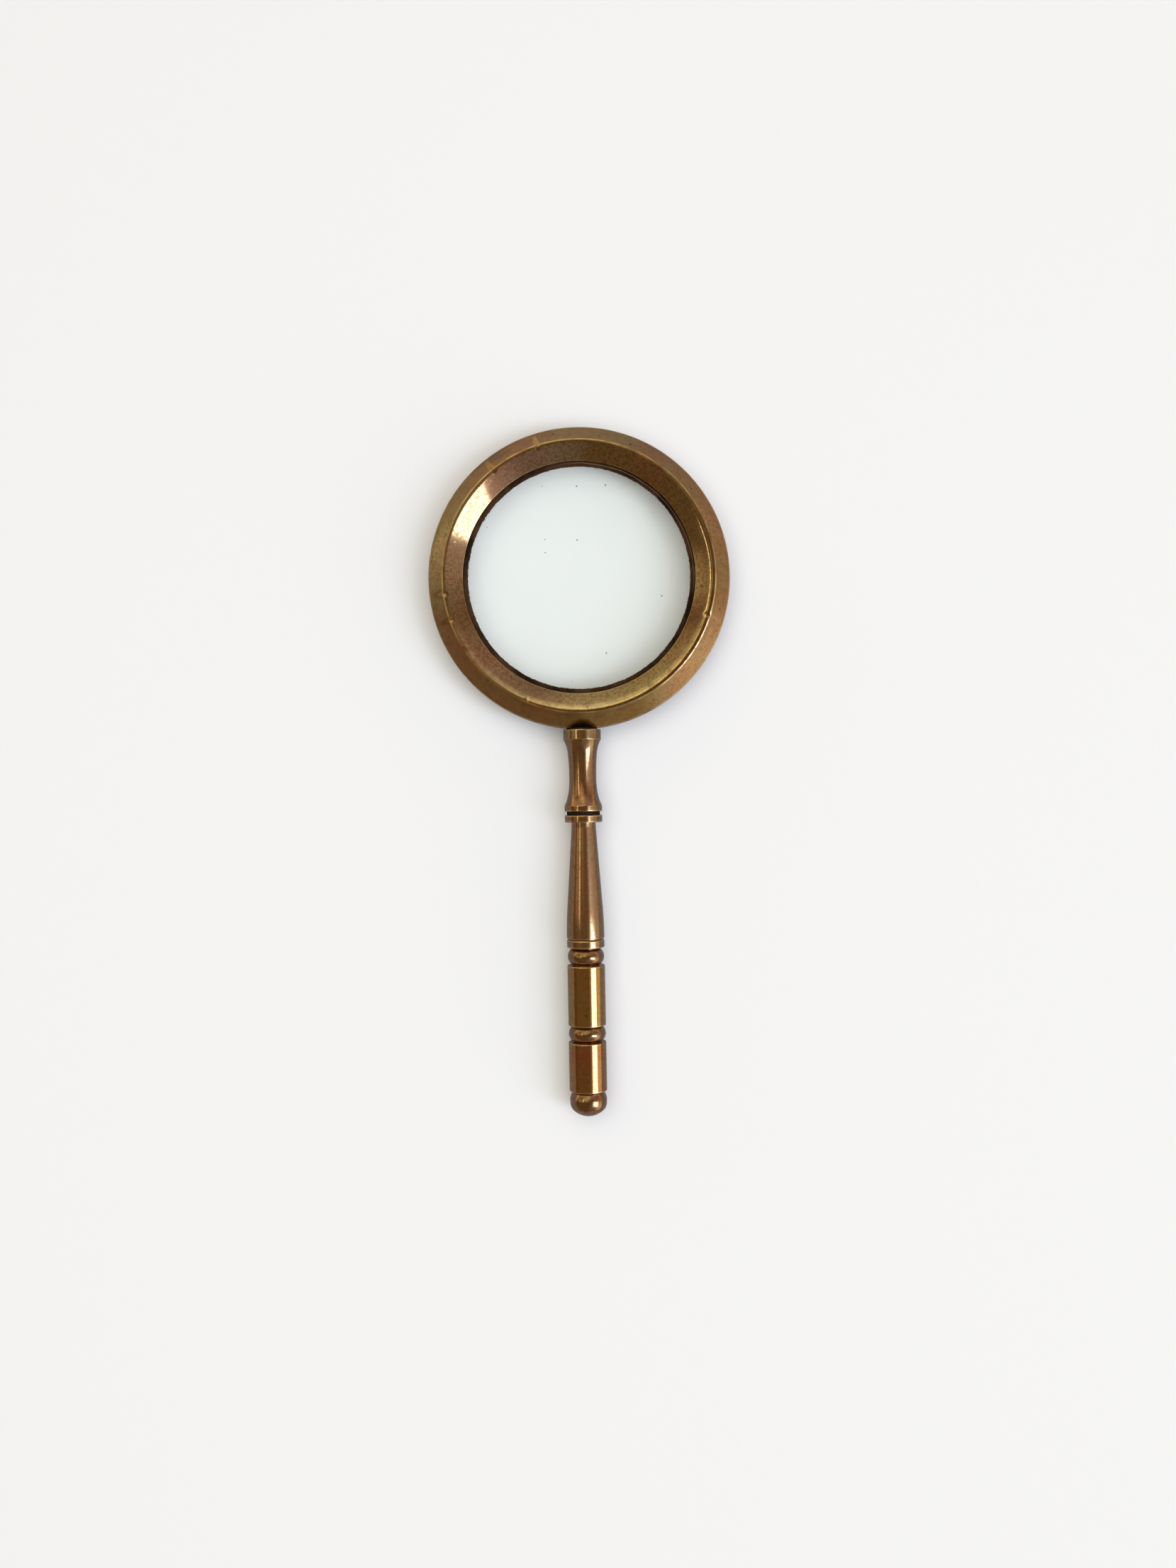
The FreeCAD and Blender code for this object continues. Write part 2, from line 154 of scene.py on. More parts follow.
def turned(name, outline_at, place, steps, reshape=None):
    """A mesh turned from an outline that may change with the turn, and each point's wear and painted
    light.
    """
    vertices, wear_and_painted_light = [], []
    for step in range(steps):
        turn = 2 * math.pi * step / steps
        for across, along, wear_and_light_level in outline_at(turn):
            point = Vector(place(across, along, turn))
            vertices.append((reshape(point) if reshape else point) * MM)
            wear_and_painted_light.append(wear_and_light_level)
    size = len(vertices) // steps
    faces = []
    for step in range(steps):
        here, there = step * size, (step + 1) % steps * size
        for number in range(size):
            after = (number + 1) % size
            faces.append((here + number, here + after, there + after, there + number))
    mesh = bpy.data.meshes.new(name)
    mesh.from_pydata(vertices, [], faces)
    mesh.attributes.new("wear_and_painted_light", "FLOAT", "POINT").data.foreach_set("value", wear_and_painted_light)
    work = bmesh.new()
    work.from_mesh(mesh)
    bmesh.ops.remove_doubles(work, verts=work.verts, dist=SAME_POINT * MM)
    bmesh.ops.recalc_face_normals(work, faces=work.faces)
    work.to_mesh(mesh)
    work.free()
    mesh.polygons.foreach_set("use_smooth", [True] * len(mesh.polygons))
    piece = bpy.data.objects.new(name, mesh)
    bpy.context.scene.collection.objects.link(piece)
    return piece


def stands_for(piece, node, body, material):
    """Puts a finished piece in the place of its CAD part."""
    piece.data.materials.append(material)
    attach(piece, body)
    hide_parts(node)
    return piece


# ---------------------------------------------------------------- materials


class Graph:
    """A material's node tree, with a short way to add nodes."""

    def __init__(self, name):
        self.material = bpy.data.materials.new(name)
        self.material.use_nodes = True
        self.tree = self.material.node_tree
        self.tree.nodes.clear()

    def add(self, kind, inputs=None, **settings):
        """A node with its settings, and its inputs given as values or as other nodes' outputs."""
        node = self.tree.nodes.new(kind)
        for key, value in settings.items():
            setattr(node, key, value)
        for key, value in (inputs or {}).items():
            if isinstance(value, bpy.types.NodeSocket):
                self.tree.links.new(value, node.inputs[key])
            else:
                node.inputs[key].default_value = value
        return node

    def math(self, operation, first, second=0.5, third=0.5, clamp=False):
        """One Math node's result."""
        inputs = {0: first, 1: second, 2: third}
        return self.add("ShaderNodeMath", inputs, operation=operation, use_clamp=clamp).outputs[0]

    def vector(self, operation, first, second=None):
        """One Vector Math node's vector."""
        inputs = {0: first} if second is None else {0: first, 1: second}
        return self.add("ShaderNodeVectorMath", inputs, operation=operation).outputs["Vector"]

    def length(self, vector):
        """How long a vector is."""
        return self.add("ShaderNodeVectorMath", {0: vector}, operation="LENGTH").outputs["Value"]

    def parts(self, vector):
        """The X, Y and Z of a vector."""
        return self.add("ShaderNodeSeparateXYZ", {0: vector}).outputs

    def spoke(self, place, axis):
        """The way from an axis out to a point. An axis is a point on it and the directions across it."""
        centre, across = axis
        return self.vector("MULTIPLY", self.vector("SUBTRACT", place, centre), across)

    def band(self, value, low, high, to_low=0.0, to_high=1.0):
        """A value mapped smoothly from one range to another, and held at its ends."""
        inputs = {"Value": value, 1: low, 2: high, 3: to_low, 4: to_high}
        node = self.add("ShaderNodeMapRange", inputs, interpolation_type="SMOOTHSTEP")
        return node.outputs["Result"]

    def noise(self, vector, scale, detail=3.0, roughness=0.55):
        """The value of a noise at a point."""
        inputs = {"Vector": vector, "Scale": scale, "Detail": detail, "Roughness": roughness}
        return self.add("ShaderNodeTexNoise", inputs).outputs["Fac"]

    def mix(self, share, first, second):
        """One colour mixed into another."""
        node = self.add("ShaderNodeMix", data_type="RGBA")
        for key, value in ((0, share), (6, first), (7, second)):
            if isinstance(value, bpy.types.NodeSocket):
                self.tree.links.new(value, node.inputs[key])
            else:
                node.inputs[key].default_value = value
        return node.outputs[2]

    def finish(self, shader):
        """Sends a shader to the material's output."""
        self.add("ShaderNodeOutputMaterial", {"Surface": shader})
        return self.material


def rgb(red, green, blue):
    """An opaque colour."""
    return (red, green, blue, 1.0)


def shade(colour, shares):
    """A colour with each channel made darker or lighter."""
    return rgb(*(channel * share for channel, share in zip(colour, shares)))


# The two axes: a point on each, and which of X, Y and Z lie across it.
RING_AXIS = (0.0, RING_CENTRE_Y * MM, 0.0), (1.0, 1.0, 0.0)
HANDLE_AXIS = (0.0, 0.0, HANDLE_LEVEL * MM), (1.0, 0.0, 1.0)

# Noises in the brass, from wide to fine: scale, detail and roughness. Marks and streaks of the lathe:
# how fine they are across their lines, and round the axis.
BRASS_NOISES = {
    "cloud": (60.0, 5.0, 0.55),
    "blotch": (430.0, 4.0, 0.65),
    "mottle": (1500.0, 4.0, 0.65),
    "grain": (4300.0, 3.0, 0.6),
}
LATHE_NOISES = {"marks": (2300.0, 1.4), "streaks": (520.0, 2.2)}

# Rubbed bare brass, which on the ring's crest and brow is also painted highlight.
RUBBED_AND_HIGHLIT_GOLD = rgb(0.85, 0.66, 0.31)
PATCH_BROWN = rgb(0.24, 0.110, 0.030)
SCORE_BROWN = rgb(0.12, 0.068, 0.030)
STAIN_BROWN = rgb(0.07, 0.04, 0.02)
PIT_BROWN = rgb(0.05, 0.028, 0.014)
# The brown of dirt and painted shade, darkening the nooks.
NOOK_DIRT_AND_SHADE_BROWN = rgb(0.06, 0.032, 0.015)

# The two tones that clean brass drifts between, as shares of its red, green and blue.
COPPERY, OLIVE = (1.14, 0.88, 0.90), (0.97, 1.13, 1.08)

# Layers of patina: the noise that places one, where in the noise it starts and is full, how much it
# covers, and the shares of the brass's red, green and blue that it leaves.
PATINA = [
    ("streaks", 0.50, 0.72, 0.50, (0.78, 0.66, 0.72)),
    ("blotch", 0.56, 0.74, 0.45, (0.58, 0.50, 0.52)),
    ("mottle", 0.36, 0.66, 0.26, (0.56, 0.50, 0.48)),
    ("grain", 0.36, 0.68, 0.26, (0.56, 0.50, 0.48)),
]

# Where in the cloud clean brass drifts from one tone to the other, where in the blotches an edge is
# rubbed bare, with painted highlight on the ring's crest and brow, and how much of the brass a pit
# and a rubbed edge hide.
TONE_DRIFT, RUB_AND_HIGHLIGHT_PATCHES = (0.38, 0.62), (0.25, 0.60)
PIT_COVER, RUB_AND_HIGHLIGHT_COVER = 0.8, 0.8

# Pits: how many cells there are to a metre, where a pit's rim fades in its cell, which cells have
# one, the cloud in which they are thick, and the share that is left outside it.
PIT_CELLS = 520.0
PIT_RIM, PIT_CHOICE, PIT_CLOUD = (0.10, 0.24), (0.80, 0.82), (0.46, 0.60)
STRAY_PITS = 0.35

# What each of these adds to the brass's roughness, and where in the mottle that one's part comes up.
BLOTCH_ROUGH, MOTTLE_ROUGH, PIT_ROUGH, DIRT_ROUGH = 0.08, 0.10, 0.3, 0.35
ROUGH_MOTTLE = (0.50, 0.66)

# Relief: how deep the lathe's marks and the grain are, as shares of a pit's depth.
MARK_DEPTH, GRAIN_DEPTH = 0.25, 0.12
PIT_DEPTH, BUMP_STRENGTH = 0.022 * MM, 0.5

# Lacquer: the mottle over which it goes from whole to worn, and its weight or roughness at both.
COAT_WEIGHT = (0.46, 0.62, 0.95, 0.35)
COAT_ROUGHNESS = (0.46, 0.64, 0.06, 0.22)
COAT_IOR = 1.8

# Stretches of the ring's section over which its finish changes, as distances from the lens axis.
INTO_SINK = (34.2 * MM, 33.7 * MM)
ONTO_BEVEL = (34.2 * MM, 34.9 * MM)
OVER_CREST = (33.9 * MM, 34.2 * MM)
UP_BEVEL = (33.9 * MM, 36.5 * MM)

# The bevel's roughness, and how deep the lathe's marks are in the countersink and on the bevel.
BEVEL_SATIN = 0.27
RING_MARK_DEPTHS = (0.10, 1.0)

# Layers that only the ring has: where each starts and is full in its noise, and how much it covers
# at those two. A thin film leaves shares of the brass's colour. Scores come in fields.
SINK_PATCHES = (0.44, 0.60, 0.0, 0.65)
FILM_NOISE, FILM_COVER, FILM_SHARES = (700.0, 5.0, 0.7), (0.43, 0.60, 0.0, 0.42), (0.60, 0.54, 0.52)
SCORE_COVER = (0.53, 0.66, 0.0, 0.55)
FIELD_NOISE, FIELD_REACH = (34.0, 2.0), (0.44, 0.58)

# Stains on the ring: the angle round it in degrees, the distance from the lens axis and the size in
# millimetres, and how dark. As shares of the size: how ragged one is, and how wide its full core is.
RING_STAINS = [(-14, 36.3, 0.55, 0.6), (-19, 35.6, 0.45, 0.5), (-15, 31.6, 0.40, 0.8)]
STAIN_RAGGED, STAIN_CORE = 0.5, 0.6


def lathe_noise(graph, place, spoke, round_ring, across, round_it):
    """A noise drawn out round the axis, as a cutting tool leaves it."""
    way, at = graph.parts(graph.vector("NORMALIZE", spoke)), graph.parts(place)
    line = graph.math("ADD", graph.length(spoke), at["Z"] if round_ring else at["Y"])
    inputs = {
        "X": graph.math("MULTIPLY", line, across),
        "Y": graph.math("MULTIPLY", way["X"], round_it),
        "Z": graph.math("MULTIPLY", way["Y"] if round_ring else way["Z"], round_it),
    }
    return graph.noise(graph.add("ShaderNodeCombineXYZ", inputs).outputs[0], 1.0)


def pit_mask(graph, place, cloud):
    """Small pits, most of them where the cloud is thick."""
    cells = graph.add("ShaderNodeTexVoronoi", {"Vector": place, "Scale": PIT_CELLS})
    chance = graph.add("ShaderNodeSeparateColor", {0: cells.outputs["Color"]}).outputs[0]
    hole = graph.band(cells.outputs["Distance"], *PIT_RIM, 1.0, 0.0)
    chosen = graph.math("MULTIPLY", hole, graph.band(chance, *PIT_CHOICE))
    return graph.math("MULTIPLY", chosen, graph.band(cloud, *PIT_CLOUD, STRAY_PITS, 1.0))


def ring_patina(graph, place, base, tone, noises):
    """What only the ring has: patches in the countersink, film and scoring on the bevel, and stains."""
    radius = graph.length(graph.spoke(place, RING_AXIS))
    patches = graph.band(noises["mottle"], *SINK_PATCHES)
    tone = graph.mix(graph.math("MULTIPLY", graph.band(radius, *INTO_SINK), patches), tone, PATCH_BROWN)
    bevel = graph.band(radius, *ONTO_BEVEL)
    film = graph.band(graph.noise(place, *FILM_NOISE), *FILM_COVER)
    tone = graph.mix(graph.math("MULTIPLY", bevel, film), tone, shade(base, FILM_SHARES))
    field = graph.band(graph.noise(place, *FIELD_NOISE), *FIELD_REACH)
    scored = graph.math("MULTIPLY", graph.band(noises["marks"], *SCORE_COVER), field)
    tone = graph.mix(graph.math("MULTIPLY", bevel, scored), tone, SCORE_BROWN)
    for angle, reach, size, depth in RING_STAINS:
        spot = [side * MM for side in ring_place(reach, 0.0, math.radians(angle))]
        gap = graph.length(graph.spoke(place, (spot, RING_AXIS[1])))
        ragged = graph.math("MULTIPLY_ADD", noises["mottle"], STAIN_RAGGED * size * MM, gap)
        stain = graph.band(ragged, size * MM, STAIN_CORE * size * MM, 0.0, depth)
        tone = graph.mix(stain, tone, STAIN_BROWN)
    return tone


def aged_brass(name, base, satin, nook_darkening=0.45, round_ring=False):
    """Old lacquered brass: turning marks, brown patina, pits, rubbed edges and dark nooks.

    The rubbed edges are also painted highlight on the ring's crest and brow, and the nooks are
    darkened with dirt and painted shade.
    """
    graph = Graph(name)
    place = graph.add("ShaderNodeTexCoord").outputs["Object"]
    spoke = graph.spoke(place, RING_AXIS if round_ring else HANDLE_AXIS)
    noises = {key: graph.noise(place, *fineness) for key, fineness in BRASS_NOISES.items()}
    for key, fineness in LATHE_NOISES.items():
        noises[key] = lathe_noise(graph, place, spoke, round_ring, *fineness)
    blotch, mottle = noises["blotch"], noises["mottle"]
    pits = pit_mask(graph, place, noises["cloud"])
    wear_and_light_level = graph.add("ShaderNodeAttribute", attribute_name="wear_and_painted_light").outputs["Fac"]
    # Rubbed bare brass on the edges, and on the ring's crest and brow painted highlight too.
    rubbed_and_highlit = graph.math("MULTIPLY", graph.band(wear_and_light_level, 0.0, 1.0), graph.band(blotch, *RUB_AND_HIGHLIGHT_PATCHES))
    # Dirt and painted shade: the nooks, where the mark is below zero, are darkened.
    nook_dirt_and_shade = graph.band(wear_and_light_level, -0.1, -1.0)

    clean = graph.band(noises["cloud"], *TONE_DRIFT)
    tone = graph.mix(clean, shade(base, COPPERY), shade(base, OLIVE))
    for layer, start, full, cover, shares in PATINA:
        tone = graph.mix(graph.band(noises[layer], start, full, 0.0, cover), tone, shade(base, shares))
    if round_ring:
        tone = ring_patina(graph, place, base, tone, noises)
    tone = graph.mix(graph.math("MULTIPLY", pits, PIT_COVER), tone, PIT_BROWN)
    # Rubbed gold on the edges, partly painted highlight on the ring's crest and brow.
    tone = graph.mix(graph.math("MULTIPLY", rubbed_and_highlit, RUB_AND_HIGHLIGHT_COVER), tone, RUBBED_AND_HIGHLIT_GOLD)
    # Dirt and painted shade darken the nooks.
    tone = graph.mix(graph.math("MULTIPLY", nook_dirt_and_shade, nook_darkening), tone, NOOK_DIRT_AND_SHADE_BROWN)

    mark_depth = MARK_DEPTH
    if round_ring:
        radius = graph.length(spoke)
        satin = graph.band(radius, *OVER_CREST, satin, BEVEL_SATIN)
        mark_depth = graph.band(radius, *UP_BEVEL, *RING_MARK_DEPTHS)
    rough = graph.math("MULTIPLY_ADD", blotch, BLOTCH_ROUGH, satin)
    rough = graph.math("ADD", rough, graph.band(mottle, *ROUGH_MOTTLE, 0.0, MOTTLE_ROUGH))
    rough = graph.math("MULTIPLY_ADD", pits, PIT_ROUGH, rough)
    rough = graph.math("MULTIPLY_ADD", nook_dirt_and_shade, DIRT_ROUGH, rough, clamp=True)

    height = graph.math("MULTIPLY", noises["marks"], mark_depth)
    height = graph.math("MULTIPLY_ADD", noises["grain"], GRAIN_DEPTH, height)
    height = graph.math("MULTIPLY_ADD", pits, -1.0, height)
    relief = {"Strength": BUMP_STRENGTH, "Distance": PIT_DEPTH, "Height": height}
    bump = graph.add("ShaderNodeBump", relief)
    metal = graph.add(
        "ShaderNodeBsdfPrincipled",
        {
            "Base Color": tone,
            "Metallic": 1.0,
            "Roughness": rough,
            "Normal": bump.outputs[0],
            "Coat Weight": graph.band(mottle, *COAT_WEIGHT),
            "Coat IOR": COAT_IOR,
            "Coat Roughness": graph.band(mottle, *COAT_ROUGHNESS),
        },
    )
    return graph.finish(metal.outputs[0])


# The tints that the lens gives to what is seen through it and to its shadow.
GLASS_TINT, SHADOW_TINT = rgb(0.913, 0.919, 0.888), rgb(0.959, 0.953, 0.915)
GLASS_IOR = 1.52

# Dust: how many cells there are to a metre, the share of them that have none, the largest speck's
# radius in cells, and the level that it lies above.
DUST_BROWN = rgb(0.10, 0.085, 0.07)
DUST_CELLS, CLEAN_SHARE, DUST_REACH, DUST_LEVEL = 140.0, 0.35, 0.026, 6.0 * MM

# The slants between which the lens comes to mirror fully, and its mirror tints before and after.
MIRROR_SLANT = (0.12, 0.25)
FACING_MIRROR, FULL_MIRROR = rgb(0.12, 0.12, 0.12), rgb(1.0, 1.0, 1.0)


def lens_glass():
    """Clear old glass with a faint grey-green tint and dust on it, that lets lamps light the table.

    It mirrors little of what is straight above it, and all that real glass does at a slant.
    """
    graph = Graph("lens_glass")
    place = graph.add("ShaderNodeTexCoord").outputs["Object"]
    inputs = {"Vector": place, "Scale": DUST_CELLS}
    cells = graph.add("ShaderNodeTexVoronoi", inputs, voronoi_dimensions="2D")
    chance = graph.add("ShaderNodeSeparateColor", {0: cells.outputs["Color"]}).outputs[0]
    reach = graph.band(chance, CLEAN_SHARE, 1.0, 0.0, DUST_REACH)
    near = graph.math("LESS_THAN", cells.outputs["Distance"], reach)
    upper = graph.math("GREATER_THAN", graph.parts(place)["Z"], DUST_LEVEL)
    dust = graph.math("MULTIPLY", near, upper)
    slant = graph.add("ShaderNodeLayerWeight", {"Blend": 0.5}).outputs["Facing"]
    glass = graph.add(
        "ShaderNodeBsdfPrincipled",
        {
            "Base Color": graph.mix(dust, GLASS_TINT, DUST_BROWN),
            "Roughness": 0.0,
            "IOR": GLASS_IOR,
            "Transmission Weight": graph.math("SUBTRACT", 1.0, dust),
            "Specular Tint": graph.mix(graph.band(slant, *MIRROR_SLANT), FACING_MIRROR, FULL_MIRROR),
        },
    )
    clear = graph.add("ShaderNodeBsdfTransparent", {"Color": SHADOW_TINT})
    lamp = graph.add("ShaderNodeLightPath").outputs["Is Shadow Ray"]
    both = graph.add("ShaderNodeMixShader", {0: lamp, 1: glass.outputs[0], 2: clear.outputs[0]})
    return graph.finish(both.outputs[0])


CRUMB_BROWN = rgb(0.17, 0.11, 0.06)
RIM_RED = rgb(0.115, 0.048, 0.022)
THREAD_PALE = rgb(0.36, 0.27, 0.17)

# Noises in the fibre and where in them it turns pale and has crumbs, and how deep its relief is.
FIBRE_NOISE, CRUMBS = (1700.0, 4.0, 0.7), (0.66, 0.76, 0.0, 0.5)
PATCH_SCALE, PALE_PATCHES = 160.0, (0.35, 0.65)
FIBRE_DEPTH = 0.05 * MM

# On the gasket's cut edge: the distances from the lens axis over which it turns red, where the
# thread runs, how far it wanders and how it fades to its sides. The thread is there where the ways
# to the right and up from the lens axis add up to THREAD_SIDE.
RIM_FADE = (28.35 * MM, 28.05 * MM, 0.0, 0.7)
THREAD_RADIUS, THREAD_WAVE, WAVE_NOISE = 29.2 * MM, 0.5 * MM, (210.0, 2.0)
THREAD_FADE, THREAD_SIDE = (0.07 * MM, 0.03 * MM, 0.0, 0.55), (22 * MM, 30 * MM)


def fibre_edge(graph, place, tone):
    """The gasket's cut edge: redder at the rim, with a pale thread in it on the upper right."""
    spoke = graph.spoke(place, RING_AXIS)
    radius = graph.length(spoke)
    tone = graph.mix(graph.band(radius, *RIM_FADE), tone, RIM_RED)
    wave = graph.math("MULTIPLY_ADD", graph.noise(place, *WAVE_NOISE), THREAD_WAVE, radius)
    off = graph.math("ABSOLUTE", graph.math("SUBTRACT", wave, THREAD_RADIUS))
    sides = graph.parts(spoke)
    side = graph.band(graph.math("ADD", sides["X"], sides["Y"]), *THREAD_SIDE)
    thread = graph.math("MULTIPLY", graph.band(off, *THREAD_FADE), side)
    return graph.mix(thread, tone, THREAD_PALE)


def dark_fibre(name, deep, pale, edge=False):
    """Dark brown fibre in patches, with a few pale crumbs."""
    graph = Graph(name)
    place = graph.add("ShaderNodeTexCoord").outputs["Object"]
    fibres = graph.noise(place, *FIBRE_NOISE)
    patches = graph.noise(place, PATCH_SCALE)
    tone = graph.mix(graph.band(patches, *PALE_PATCHES), deep, pale)
    tone = graph.mix(graph.band(fibres, *CRUMBS), tone, CRUMB_BROWN)
    if edge:
        tone = fibre_edge(graph, place, tone)
    bump = graph.add("ShaderNodeBump", {"Strength": 0.6, "Distance": FIBRE_DEPTH, "Height": fibres})
    surface = graph.add(
        "ShaderNodeBsdfPrincipled",
        {"Base Color": tone, "Roughness": 0.7, "Specular IOR Level": 0.1, "Normal": bump.outputs[0]},
    )
    return graph.finish(surface.outputs[0])


STEEL_GREY, OIL_BROWN = rgb(0.42, 0.40, 0.37), rgb(0.26, 0.21, 0.16)
OIL_NOISE, OILY, OILY_SATIN = (300.0, 4.0), (0.4, 0.7), (0.3, 0.7, 0.22, 0.42)


def turned_steel():
    """Plain machined steel with a little oil brown on it."""
    graph = Graph("turned_steel")
    place = graph.add("ShaderNodeTexCoord").outputs["Object"]
    film = graph.noise(place, *OIL_NOISE)
    tone = graph.mix(graph.band(film, *OILY), STEEL_GREY, OIL_BROWN)
    surface = graph.add(
        "ShaderNodeBsdfPrincipled",
        {"Base Color": tone, "Metallic": 1.0, "Roughness": graph.band(film, *OILY_SATIN)},
    )
    return graph.finish(surface.outputs[0])


ring_brass = aged_brass("ring_brass", (0.42, 0.262, 0.092), satin=0.05, nook_darkening=0.7, round_ring=True)
neck_brass = aged_brass("neck_brass", (0.42, 0.250, 0.105), satin=0.11)
grip_brass = aged_brass("grip_brass", (0.44, 0.262, 0.115), satin=0.15)
bead_brass = aged_brass("bead_brass", (0.385, 0.200, 0.075), satin=0.12)
upper_brass = aged_brass("upper_brass", (0.56, 0.285, 0.062), satin=0.04)
lower_brass = aged_brass("lower_brass", (0.52, 0.235, 0.055), satin=0.04)
glass = lens_glass()
gasket_fibre = dark_fibre("gasket_fibre", rgb(0.012, 0.006, 0.003), rgb(0.055, 0.026, 0.012), edge=True)
# The washers are near-black: partly their own dark fibre, partly painted shade of the gaps that they
# fill.
washer_fibre_and_gap_shade = dark_fibre("washer_fibre_and_gap_shade", rgb(0.007, 0.004, 0.003), rgb(0.020, 0.011, 0.007))
steel = turned_steel()

# ---------------------------------------------------------------- ring and lens

# The ring's section: distances from the lens axis and levels over the table, in millimetres.
CREST_RADIUS = 34.12
WALL_LOW, WALL_HIGH = 3.4, 7.8
REAR_BORE, REAR_DEPTH = 32.25, 4.4
SEAT_RADIUS, LIP_LEVEL, LIP_RADIUS = 31.1, 7.9, 29.3
BORE_EASE, REAR_EASE, WALL_EASE, LIP_EASE, SEAT_EASE = 0.15, 0.2, 0.25, 0.12, 0.1

# The countersink: the radius of its top, the level of its foot, how far it is off the lens axis, and
# the radius that its side bulges by.
SINK_CREST_RADIUS, SINK_FOOT_LEVEL = 33.8, 8.9
SINK_SHIFT = Vector((-0.39, 0.23))
SINK_CROWN = 60.0

# How much the countersink widens for each millimetre up, and how much the bevel drops for each
# millimetre out.
SINK_FLARE = (SINK_CREST_RADIUS - LIP_RADIUS) / (RING_HEIGHT - SINK_FOOT_LEVEL)
BEVEL_DROP = (RING_HEIGHT - WALL_HIGH) / (RING_RADIUS - CREST_RADIUS)

# The crest is lower than the CAD part's: by KNIFE_LOSS where it would be a knife edge, and all round
# by CREST_DROP. An arc of radius CREST_BULGE leads to it from the bevel, BEVEL_RUN outside the CAD
# part's edge, and ends CREST_LEAD inside that edge.
KNIFE_LOSS, CREST_DROP = 0.05, 0.10
CREST_EASE, CREST_BULGE, CREST_LEAD = 0.08, 0.99, 0.02
BEVEL_RUN = 0.35

# The convex brow just inside the crest: how long, how round and how steep it is.
BROW, BROW_BULGE = 1.0, 3.8
BROW_TILT = math.radians(19.6)

# How far from the lens axis the wall is cut flat for the handle.
SPOT_FACE = 37.9
RING_STEPS, RING_ARC_PIECES = 900, 8

# Dents in the crest: the angle round the ring and the half-width in degrees, the depth in millimetres.
NICKS = [
    (107.0, 0.8, 0.24),
    (128.0, 0.8, 0.22),
    (186.5, 1.1, 0.26),
    (198.0, 0.8, 0.20),
    (246.0, 0.7, 0.12),
    (342.0, 0.9, 0.16),
]

# Bare gold on the crest, rubbed wear that is also painted highlight along the crest and painted glints
# in its dents: how much there is, how far and how often that changes round the ring, and how much more
# there is for each millimetre of a dent. The brow is rubbed, and carries painted highlight, most on
# one side.
GILT, GILT_SPREAD, GILT_PATCHES, GILT_AT_DENT = 0.75, 0.9, 9.0, 4.0
RUBBED_AND_LIT_SIDE = math.radians(277)
RUBBED_AND_LIT_FALL = 0.8


def round_the_axis(turn):
    """The direction out from the lens axis at an angle round the ring."""
    return Vector((math.cos(turn), math.sin(turn), 0.0))


def nick_depth(turn):
    """How deep the crest is dented at an angle round the ring."""
    depth = 0.0
    for angle, width, deepest in NICKS:
        off = (math.degrees(turn) - angle + 180) % 360 - 180
        depth += deepest * math.exp(-((off / width) ** 2))
    return depth


def ring_outline(turn):
    """The ring's section: the countersink is off-centre, so the land on its crest comes and goes."""
    shift = SINK_SHIFT.x * math.cos(turn) + SINK_SHIFT.y * math.sin(turn)
    sink_top = SINK_CREST_RADIUS + shift
    knife = (sink_top / SINK_FLARE + BEVEL_DROP * CREST_RADIUS) / (1 / SINK_FLARE + BEVEL_DROP)
    knife_level = RING_HEIGHT - (knife - CREST_RADIUS) * BEVEL_DROP
    top = min(RING_HEIGHT, knife_level - KNIFE_LOSS)
    outer = CREST_RADIUS + (RING_HEIGHT - top) / BEVEL_DROP
    inner = sink_top - (RING_HEIGHT - top) * SINK_FLARE
    nick = nick_depth(turn)
    crest = top - CREST_DROP
    # Gold on the crest and in its dents, and on the brow towards one side: rubbed wear and painted
    # highlight.
    patch = noise.noise(round_the_axis(turn) * GILT_PATCHES)
    gilt = min(GILT + GILT_SPREAD * patch + GILT_AT_DENT * nick, 1.0)
    handled_and_lit = max(math.cos(turn - RUBBED_AND_LIT_SIDE), 0.0) ** RUBBED_AND_LIT_FALL
    brow = inner - BROW * math.cos(BROW_TILT), crest - BROW * math.sin(BROW_TILT)
    foot = brow[1] - (brow[0] - LIP_RADIUS) / SINK_FLARE
    return outline(
        [
            corner(REAR_BORE, 0.0, BORE_EASE),
            corner(CREST_RADIUS, 0.0, REAR_EASE),
            corner(RING_RADIUS, WALL_LOW, WALL_EASE),
            corner(RING_RADIUS, WALL_HIGH, WALL_EASE),
            corner(outer + BEVEL_RUN, top - BEVEL_RUN * BEVEL_DROP),
            corner(outer - CREST_LEAD, crest - nick, CREST_EASE, CREST_BULGE, gilt),
            corner(inner, crest - nick, CREST_EASE, 0.0, gilt),
            corner(brow[0], brow[1], 0.0, BROW_BULGE, handled_and_lit),
            corner(LIP_RADIUS, foot, LIP_EASE, SINK_CROWN),
            corner(LIP_RADIUS, LIP_LEVEL, SEAT_EASE),
            corner(SEAT_RADIUS, LIP_LEVEL),
            corner(SEAT_RADIUS, REAR_DEPTH, SEAT_EASE),
            corner(REAR_BORE, REAR_DEPTH),
        ],
        RING_ARC_PIECES,
    )


def spot_faced(point):
    """Flattens the patch of the ring's wall that the handle sits on."""
    seat_y = RING_CENTRE_Y - SPOT_FACE
    return Vector((point.x, max(point.y, seat_y), point.z))


ring = turned("ring", ring_outline, ring_place, RING_STEPS, spot_faced)
stands_for(ring, "lens_frame", "lens_head", ring_brass)

# How far the lens bulges beyond its ground edge on each side, how round that edge is, and the radius
# of the bulge.
LENS_DOME, LENS_EASE = 3.1, 0.1
LENS_CURVE = (LENS_RADIUS**2 + LENS_DOME**2) / (2 * LENS_DOME)
LENS_STEPS, LENS_ARC_PIECES = 300, 64


